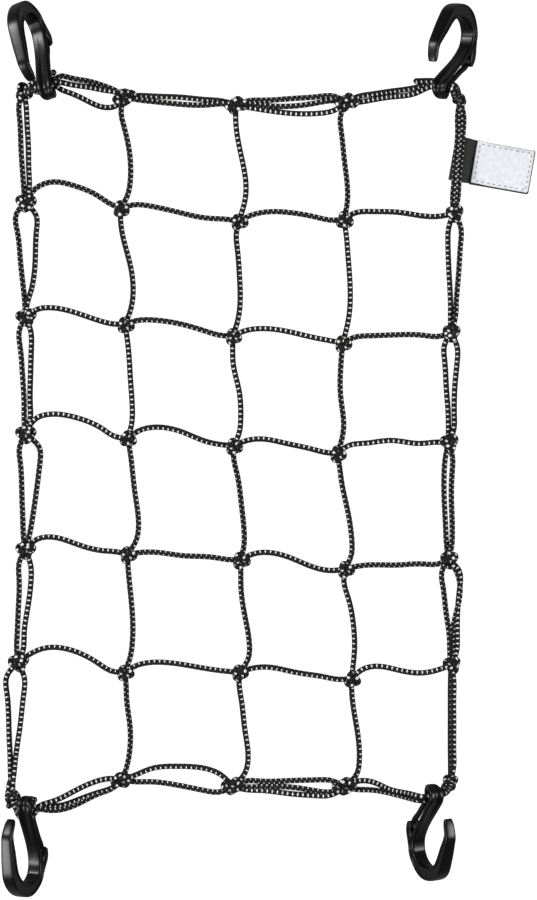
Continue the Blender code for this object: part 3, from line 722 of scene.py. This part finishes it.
inner = [cordTube(cordRun(start, end, bows)) for start, end, *bows in crossCords + uprightCords]
border = []
for group in (sideCords, topCords, bottomCords, thirdCords):
    for number, (start, end, *bows) in enumerate(group):
        points = np.array(cordRun(start, end, bows))
        points[1:-1, 2] += liftOver(group, number)
        border.append(cordTube(points))
for bows, levels in labelCords:
    border.append(cordTube(cordRun("e0", "e1", bows, levels=levels)))

# cords through a hook: a station nearer to the slot than this is left to the curve, how far apart
# the cords end in the knot beyond, and how far they bow out between the slot and that knot
bundle = {"clear": 6.0, "apart": 1.3, "bow": 1.8}
for start, corner, slot, *bows in hookCords:
    own = hooks[corner]
    across, up = hook["slot"][slot]
    inside = [own["turned"] @ (across, up, depth) + own["place"] for depth in own["through"]]
    points = cordRun(start, corner, bows, top=inside[0][2])[:-1]
    first = np.array(points[0][:2])
    reach = np.array(inside[0][:2]) - first
    span = math.hypot(*reach)
    points = [spot for spot in points if np.dot(spot[:2] - first, reach) / span < span - bundle["clear"]]
    side = bundle["apart"] * (1 - slot)
    x, y = places[own["knot"]]
    last = np.array(seen(x + side, y, heights[own["knot"]] + side))
    way = last - inside[-1]
    beside = np.array((-way[1], way[0], 0.0)) / math.hypot(way[0], way[1])
    bow = bundle["bow"] * (2 * slot - 1) if slot < 2 else 0.0
    points += [*inside, (last + inside[-1]) / 2 + beside * bow, last]
    border.append(cordTube(points))

# a cut tail at the top right eye, and short cord ends melted to a ball: points and ball size
tails = (
    ((97.5, 248.5, 20.0), (101.5, 248.3, 21.5), (106.5, 248.0, 23.5), (112.5, 247.3, 26.0), 0.0),
    ((-147.5, 250.5, 19.0), (-145.8, 252.0, 21.6), (-144.4, 253.4, 24.0), 2.2),
    ((-160.5, -239.5, 22.8), (-158.6, -237.0, 24.2), (-157.1, -234.6, 25.0), 2.1),
    ((-176.0, -237.5, 6.0), (-176.8, -240.5, 4.6), (-177.2, -243.0, 3.8), 2.1),
)
border += [cordTube(row[:-1]) for row in tails]
print("cords laid")

# each knot is a tight three-lobed overhand knot of the same cord; a kind has its size, its turn in
# degrees, the share and the turn that chance may change, and its place beside the crossing; the
# left and right borders have one over the other, the top and bottom borders one beside the other
knot = {
    "rings": 78,
    "rise": 1.75,
    "lowest": 3.9,  # height of its middle
    "uneven": 0.07,  # chance in the lobes of an inside knot
    "leftWide": 1.18,  # of the left border's knots
    "inside": {"size": 1.5, "turn": -45.0, "share": 0.05, "sway": 12.0, "beside": (0.5, -0.7, 0.0)},
    "side": {"size": 1.66, "turn": 5.0, "share": 0.05, "sway": 10.0, "beside": (0.7, 0.0, 0.0)},
    "over": {"size": 1.136, "turn": 65.0, "share": 0.0, "sway": 20.0, "beside": (0.4, 0.8, 0.8)},
    "left": {"size": 1.42, "turn": 30.0, "share": 0.06, "sway": 20.0, "beside": (-2.4, -0.5, -0.5)},
    "right": {"size": 1.42, "turn": 85.0, "share": 0.06, "sway": 20.0, "beside": (2.4, 0.5, 0.5)},
}
# turn, size, across, up, wide, long
cornerKnots = {
    "e0": (35.0, 1.05, -0.2, 0.6, 1.05, 0.85),
    "e6": (0.0, 1.3, 0.0, -1.0, 1.0, 1.1),
    "a0": (75.0, 1.6, 0.3, -0.4, 1.0, 1.05),
    "a6": (55.0, 1.25, -0.6, -0.9, 0.65, 2.1),
}


def knotTube(centre, size, turn, stretch=(1.0, 1.0)):
    # the trefoil: x is sin t plus twice sin 2t, y is cos t minus twice cos 2t, z is minus sin 3t
    t = np.linspace(0.0, math.tau, knot["rings"], endpoint=False)
    x = (np.sin(t) + 2 * np.sin(2 * t)) * size
    y = (np.cos(t) - 2 * np.cos(2 * t)) * size
    z = -np.sin(3 * t) * knot["rise"]
    c, s = math.cos(math.radians(turn)), math.sin(math.radians(turn))
    path = np.stack(((c * x - s * y) * stretch[0], (s * x + c * y) * stretch[1], z), axis=1) + centre
    path[:, 2] = np.maximum(path[:, 2], cord["radius"])
    return tube(path, start=chance.uniform(0, braid["slide"]), closed=True)


def knotOf(kind, centre, sizeChance, turnChance, stretch=(1.0, 1.0)):
    # size times one plus the share of one chance, turn plus the sway of the other
    own = knot[kind]
    size = own["size"] * (1 + own["share"] * sizeChance)
    return knotTube(centre + own["beside"], size, own["turn"] + own["sway"] * turnChance, stretch)


knots = []
for name, spot in places.items():
    if name in hooks:
        continue
    centre = np.array(seen(*spot, max(heights.get(name, knotCentre), knot["lowest"])))
    wobble = chance.uniform(-1, 1, 4)
    onSide, onEnd = name[0] in "ae", name[1] in "06"
    if name in cornerKnots:
        turn, size, across, up, wide, long = cornerKnots[name]
        knots.append(knotTube(centre + (across, up, 0.0), size, turn, (wide, long)))
    elif onSide:
        wide = knot["leftWide"] if name[0] == "a" else 1.0
        knots.append(knotOf("side", centre, wobble[0], wobble[1], (wide, 1.0)))
        knots.append(knotOf("over", centre, wobble[0], wobble[2]))
    elif onEnd:
        knots += [knotOf(kind, centre, wobble[0], wobble[1]) for kind in ("left", "right")]
    else:
        uneven = 1 + knot["uneven"] * wobble[2:]
        knots.append(knotOf("inside", centre, wobble[0], wobble[1], uneven))
for name, parts in (("innerCords", inner), ("borderCords", border), ("cordKnots", knots)):
    piece = meshPiece(name, parts, cordMaterial)
    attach(piece, "root")
    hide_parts("net")
    print(name, "made of", len(piece.data.polygons) * 2, "triangles")

# the label: a dark backing and a silvery face, x along it from the net's cord and y across it
label = {
    "centre": (160.2, 193.4),
    "turn": -10.0,  # degrees
    "length": 41.1,
    "width": 30.4,
    "corner": 1.3,  # radius of the two free corners
    "grid": (64, 48),
    "backTop": 0.62,  # height of the backing's upper side
    "backThick": 0.58,
    "cloth": 0.5,  # thickness of the face
    "inward": 0.55,  # from the backing's rim to the face's
    "offset": (-0.15, 0.35),
    "edge": 1.15,  # height of the face at its rim
    "full": 1.3,  # swell inside the rim
    "soft": 1.6,  # length of that swell
    "over": 1.7,  # rise over the webbing
    "tail": -12.6,  # where that rise ends
    "blend": 1.2,  # how soft its end is
    "wrinkle": 0.14,
    # a sine of x bent by a sine of y, the sine of y that it is multiplied by, and a slanting sine
    "bent": (0.55, 1.3, 0.31),
    "upright": (0.47, 0.8),
    "slanting": (0.6, 1.1, 0.7),
}


def labelPlace(x, y, z):
    # the label's own x and y, turned by the cosine and sine of its turn and moved to its centre
    c, s = math.cos(math.radians(label["turn"])), math.sin(math.radians(label["turn"]))
    across, up = label["centre"]
    return np.stack((across + c * x - s * y, up + s * x + c * y, z + 0.0 * x), axis=-1)


def clothPart(x, y, top, thick):
    # an upper and a lower grid joined round the rim; coordinates are millimetres on the cloth
    upper = labelPlace(x, y, top).reshape(-1, 3)
    lower = labelPlace(x, y, top - thick).reshape(-1, 3)
    faces = sheetFaces(*label["grid"])
    flat = np.stack((x, y), axis=-1).reshape(-1, 2)
    return np.concatenate((upper, lower)), faces, np.concatenate((flat, flat))[faces].reshape(-1, 2)


def clothGrid(shrink):
    # a rectangle whose two free corners are rounded: near them y is scaled so that the rim
    # follows the root of the radius squared minus the distance past the corner's centre squared
    rows, columns = label["grid"]
    u, w = np.linspace(-1, 1, rows)[:, None], np.linspace(-1, 1, columns)[None, :]
    half = np.array((label["length"] / 2 - shrink, label["width"] / 2 - shrink))
    x, y = half[0] * u + 0 * w, half[1] * w + 0 * u
    r = label["corner"]
    near = np.clip(x - (half[0] - r), 0, None)
    y = y * (half[1] - (r - np.sqrt(np.clip(r * r - near * near, 0, None)))) / half[1]
    return x, y


def faceTop(x, y):
    # the edge's height, plus a swell that grows from the rim as one minus an exponential, plus the
    # rise over the webbing, which ends as a soft step, plus waves from sines of x and y
    rim = np.minimum(x.max() - x, y.max() - np.abs(y)).clip(0)
    over = 1 / (1 + np.exp((x - label["tail"]) / label["blend"]))
    swell = over + (1 - over) * (1 - np.exp(-rim / label["soft"]))
    pitch, bend, bendPitch = label["bent"]
    rise, start = label["upright"]
    share, slantX, slantY = label["slanting"]
    waves = np.sin(x * pitch + bend * np.sin(y * bendPitch)) * np.sin(y * rise + start)
    waves = waves + share * np.sin(x * slantX - y * slantY)
    return label["edge"] + label["full"] * swell + label["over"] * over + label["wrinkle"] * waves * swell


faceX, faceY = clothGrid(label["inward"])
top = faceTop(faceX, faceY)
faceParts = [clothPart(faceX + label["offset"][0], faceY + label["offset"][1], top, label["cloth"])]
x, y = clothGrid(0.0)
backParts = [clothPart(x, y, label["backTop"] + 0 * x, label["backThick"])]

# stitches round the face: spacing, distance from the backing's rim, half sizes of one, its grid
stitch = {"every": 3.6, "inset": 2.6, "long": 1.0, "broad": 0.36, "high": 0.18, "grid": (7, 9)}


def ballAngles(rows, columns):
    # from pole to pole, and once round
    return np.linspace(0, math.pi, rows)[:, None], np.linspace(0, math.tau, columns)[None, :]


def faceHeight(x, y):
    # the face's own height, read from its grid at the nearest row and column
    numbers = []
    for place, offset, reach, last in (
            (x, label["offset"][0], faceX[-1, 0], label["grid"][0] - 1),
            (y, label["offset"][1], faceY[0, -1], label["grid"][1] - 1)):
        number = np.rint(((place - offset) / reach + 1) / 2 * last)
        numbers.append(np.clip(number, 0, last).astype(int))
    return top[numbers[0], numbers[1]]


def stitchRow(start, end):
    # balls drawn out along the row: half the length by cos t, half the breadth by sin t cos q,
    # half the height by sin t sin q, at even places along a straight line on the face
    a, b = np.array(start), np.array(end)
    span = np.linalg.norm(b - a)
    count = int(span / stitch["every"])
    way = (b - a) / span
    t, q = ballAngles(*stitch["grid"])
    along = stitch["long"] * np.cos(t) + 0 * q
    side = stitch["broad"] * np.sin(t) * np.cos(q)
    faces = gridFaces(*stitch["grid"])
    parts = []
    for share in (np.arange(count) + 0.5) / count:
        spot = a + (b - a) * share
        x = spot[0] + way[0] * along - way[1] * side
        y = spot[1] + way[1] * along + way[0] * side
        verts = labelPlace(x, y, faceHeight(x, y) + stitch["high"] * np.sin(t) * np.sin(q))
        parts.append((verts.reshape(-1, 3), faces, np.zeros((faces.size, 2))))
    return parts


reachX, reachY = label["length"] / 2 - stitch["inset"], label["width"] / 2 - stitch["inset"]
corners = ((-reachX, -reachY), (reachX, -reachY), (reachX, reachY), (-reachX, reachY))
stitches = [part for ends in zip(corners, corners[1:] + corners[:1]) for part in stitchRow(*ends)]

# the webbing folded round its cord: ribs in millimetres, and the middle of its thickness as
# distance along the label and height, with both tails between the cloths
webbing = {
    "width": 29.6,
    "thick": 1.05,
    "rib": 1.15,
    "step": 0.5,
    "columns": 80,
    "lift": 0.03,  # off the floor
    "line": (
        (-15.2, 1.55), (-20.9, 1.6), (-24.0, 0.62), (-32.2, 0.56), (-34.1, 1.4), (-34.85, 3.2), (-34.1, 5.0),
        (-32.2, 5.9), (-27.7, 5.9), (-25.6, 5.2), (-22.2, 2.9), (-20.2, 2.75), (-15.2, 2.7),
    ),
}
line = splinePath([(along, 0.0, height) for along, height in webbing["line"]], webbing["step"])
line[:, 2] = np.maximum(line[:, 2], webbing["thick"] / 2 + webbing["lift"])
run = np.arange(len(line)) * webbing["step"]


def webbingPart():
    # the line plus and minus half the thickness times the way out of the fold, drawn straight
    # across the label; coordinates are millimetres along the webbing and across it
    ahead = np.gradient(line, axis=0)
    ahead /= np.linalg.norm(ahead, axis=1)[:, None]
    outer = np.stack((-ahead[:, 2], ahead[:, 2] * 0, ahead[:, 0]), axis=1)
    across = np.linspace(-webbing["width"] / 2, webbing["width"] / 2, webbing["columns"])
    layers = []
    for sign in (0.5, -0.5):
        sheet = line + sign * webbing["thick"] * outer
        layer = labelPlace(sheet[:, :1] + 0 * across, across + 0 * sheet[:, :1], sheet[:, 2:])
        layers.append(layer.reshape(-1, 3))
    faces = sheetFaces(len(line), webbing["columns"])
    flat = np.stack((run[:, None] + 0 * across, across + 0 * run[:, None]), axis=-1).reshape(-1, 2)
    return np.concatenate(layers), faces, np.concatenate((flat, flat))[faces].reshape(-1, 2)


# the soft cloud that shades the cloths: how many to a millimetre, and its detail
cloud = {"size": 0.28, "detail": 4.0}


def weaveGroup():
    # threads met along the cloth and across it, as sines of its own coordinates over their
    # spacings, added by the share of the second, and a soft cloud
    inputs = (("Along", 1.0), ("Across", 1.0), ("Share", 0.5))
    group, out = newGroup("weave", ("Height", "Shade"), inputs)
    given = group.nodes.new("NodeGroupInput").outputs
    uv, along, across = uvParts(group, "cloth")
    waves = []
    for place, name in ((along, "Along"), (across, "Across")):
        turns = times(group, place, mathNode(group, "DIVIDE", math.tau, given[name]))
        waves.append(mathNode(group, "SINE", turns))
    rest = minus(group, 1.0, given["Share"])
    height = plus(group, times(group, waves[0], rest), times(group, waves[1], given["Share"]))
    group.links.new(height, out.inputs["Height"])
    noise = group.nodes.new("ShaderNodeTexNoise")
    noise.inputs["Scale"].default_value = cloud["size"]
    noise.inputs["Detail"].default_value = cloud["detail"]
    group.links.new(uv, noise.inputs["Vector"])
    group.links.new(noise.outputs["Fac"], out.inputs["Shade"])
    return group


weaveShader = weaveGroup()
# of each cloth: its two colours, roughness, its threads' spacing along and across and the share of
# those across, their height, and which of the group's outputs blends the colours; where that is the
# threads' height, the pale colour is a painted highlight on the crests and the dark one painted shade in the
# grooves
cloths = {
    "blackTapeWithPaintedRibShade": {"dark": (0.006, 0.006, 0.007), "pale": (0.09, 0.09, 0.095), "rough": 0.6,
                  "weave": (0.7, webbing["rib"], 0.8), "relief": 0.16, "blend": "Height"},
    "silverWhiteCloth": {"dark": (0.6, 0.61, 0.68), "pale": (0.97, 0.98, 1.0), "rough": 0.42,
                         "weave": (0.42, 0.42, 0.5), "relief": 0.03, "blend": "Shade"},
    "darkBacking": {"dark": (0.01, 0.01, 0.011), "pale": (0.03, 0.03, 0.03), "rough": 0.8,
                    "weave": (0.42, 0.42, 0.5), "relief": 0.04, "blend": "Shade"},
}
clothShine = 0.3
thread = {"grey": (0.22, 0.22, 0.25), "rough": 0.7}


def clothMaterial(name):
    own = cloths[name]
    material, tree, shader = newMaterial(name, own["dark"], own["rough"], clothShine)
    node = useGroup(tree, weaveShader)
    for socket, value in zip(("Along", "Across", "Share"), own["weave"]):
        node.inputs[socket].default_value = value
    # a blend by the threads' height paints shade into the grooves and a highlight onto the crests
    blend = mixColour(tree, node.outputs[own["blend"]], own["dark"], own["pale"])
    tree.links.new(blend, shader.inputs["Base Color"])
    bumpFrom(tree, shader, node.outputs["Height"], own["relief"] * mm)
    return material


webbingWithPaintedRibShade = clothMaterial("blackTapeWithPaintedRibShade")
silverWhite = clothMaterial("silverWhiteCloth")
backBlack = clothMaterial("darkBacking")
threadGrey = newMaterial("greyThread", thread["grey"], thread["rough"])[0]
for name, parts, material, node, slot in (
        ("labelWebbing", [webbingPart()], webbingWithPaintedRibShade, "label_loop", "webbing"),
        ("labelBacking", backParts, backBlack, "label_back", "label_backing"),
        ("labelCloth", faceParts, silverWhite, "label_face", "label_cloth"),
        ("labelStitches", stitches, threadGrey, None, "label_cloth")):
    piece = meshPiece(name, parts, material, uvName="cloth")
    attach(piece, "root")
    if node:
        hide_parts(node)
print("label made")

melted = {"black": (0.012, 0.012, 0.013), "rough": 0.25, "grid": (13, 21)}


def ballPart(x, y, z, radius):
    # a ball from its two angles: the radius times sin t cos q, sin t sin q and cos t
    t, q = ballAngles(*melted["grid"])
    across, up = radius * np.sin(t) * np.cos(q), radius * np.sin(t) * np.sin(q)
    verts = np.stack((x + across, y + up, z + radius * np.cos(t) + 0 * q), axis=-1)
    faces = gridFaces(*melted["grid"])
    return verts.reshape(-1, 3), faces, np.zeros((faces.size, 2))


meltedBlack = newMaterial("meltedEnd", melted["black"], melted["rough"])[0]
balls = [ballPart(*row[-2], row[-1]) for row in tails if row[-1]]
piece = meshPiece("meltedEnds", balls, meltedBlack)
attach(piece, "root")
print("melted ends made")

# a plain square: half its side and its depth under the surface in metres, and its own grey
floorSettings = {"half": 3.0, "under": 0.0002, "grey": (0.22, 0.22, 0.22), "rough": 0.9}
floorMaterial, tree, shader = newMaterial("paleFloor", floorSettings["grey"], floorSettings["rough"], 0.0)
shader.inputs["Emission Color"].default_value = (1.0, 1.0, 1.0, 1.0)
# white where the camera looks at it, and dull in the reflections of the dark plastic
lightPath = tree.nodes.new("ShaderNodeLightPath")
tree.links.new(lightPath.outputs["Is Camera Ray"], shader.inputs["Emission Strength"])
half, under = floorSettings["half"], floorSettings["under"]
floorCorners = [(-half, -half, -under), (half, -half, -under), (half, half, -under), (-half, half, -under)]
floorMesh = bpy.data.meshes.new("floor")
floorMesh.from_pydata(floorCorners, [], [(0, 1, 2, 3)])
floorMesh.materials.append(floorMaterial)
floor = bpy.data.objects.new("floor", floorMesh)
bpy.context.scene.collection.objects.link(floor)
print("floor made")
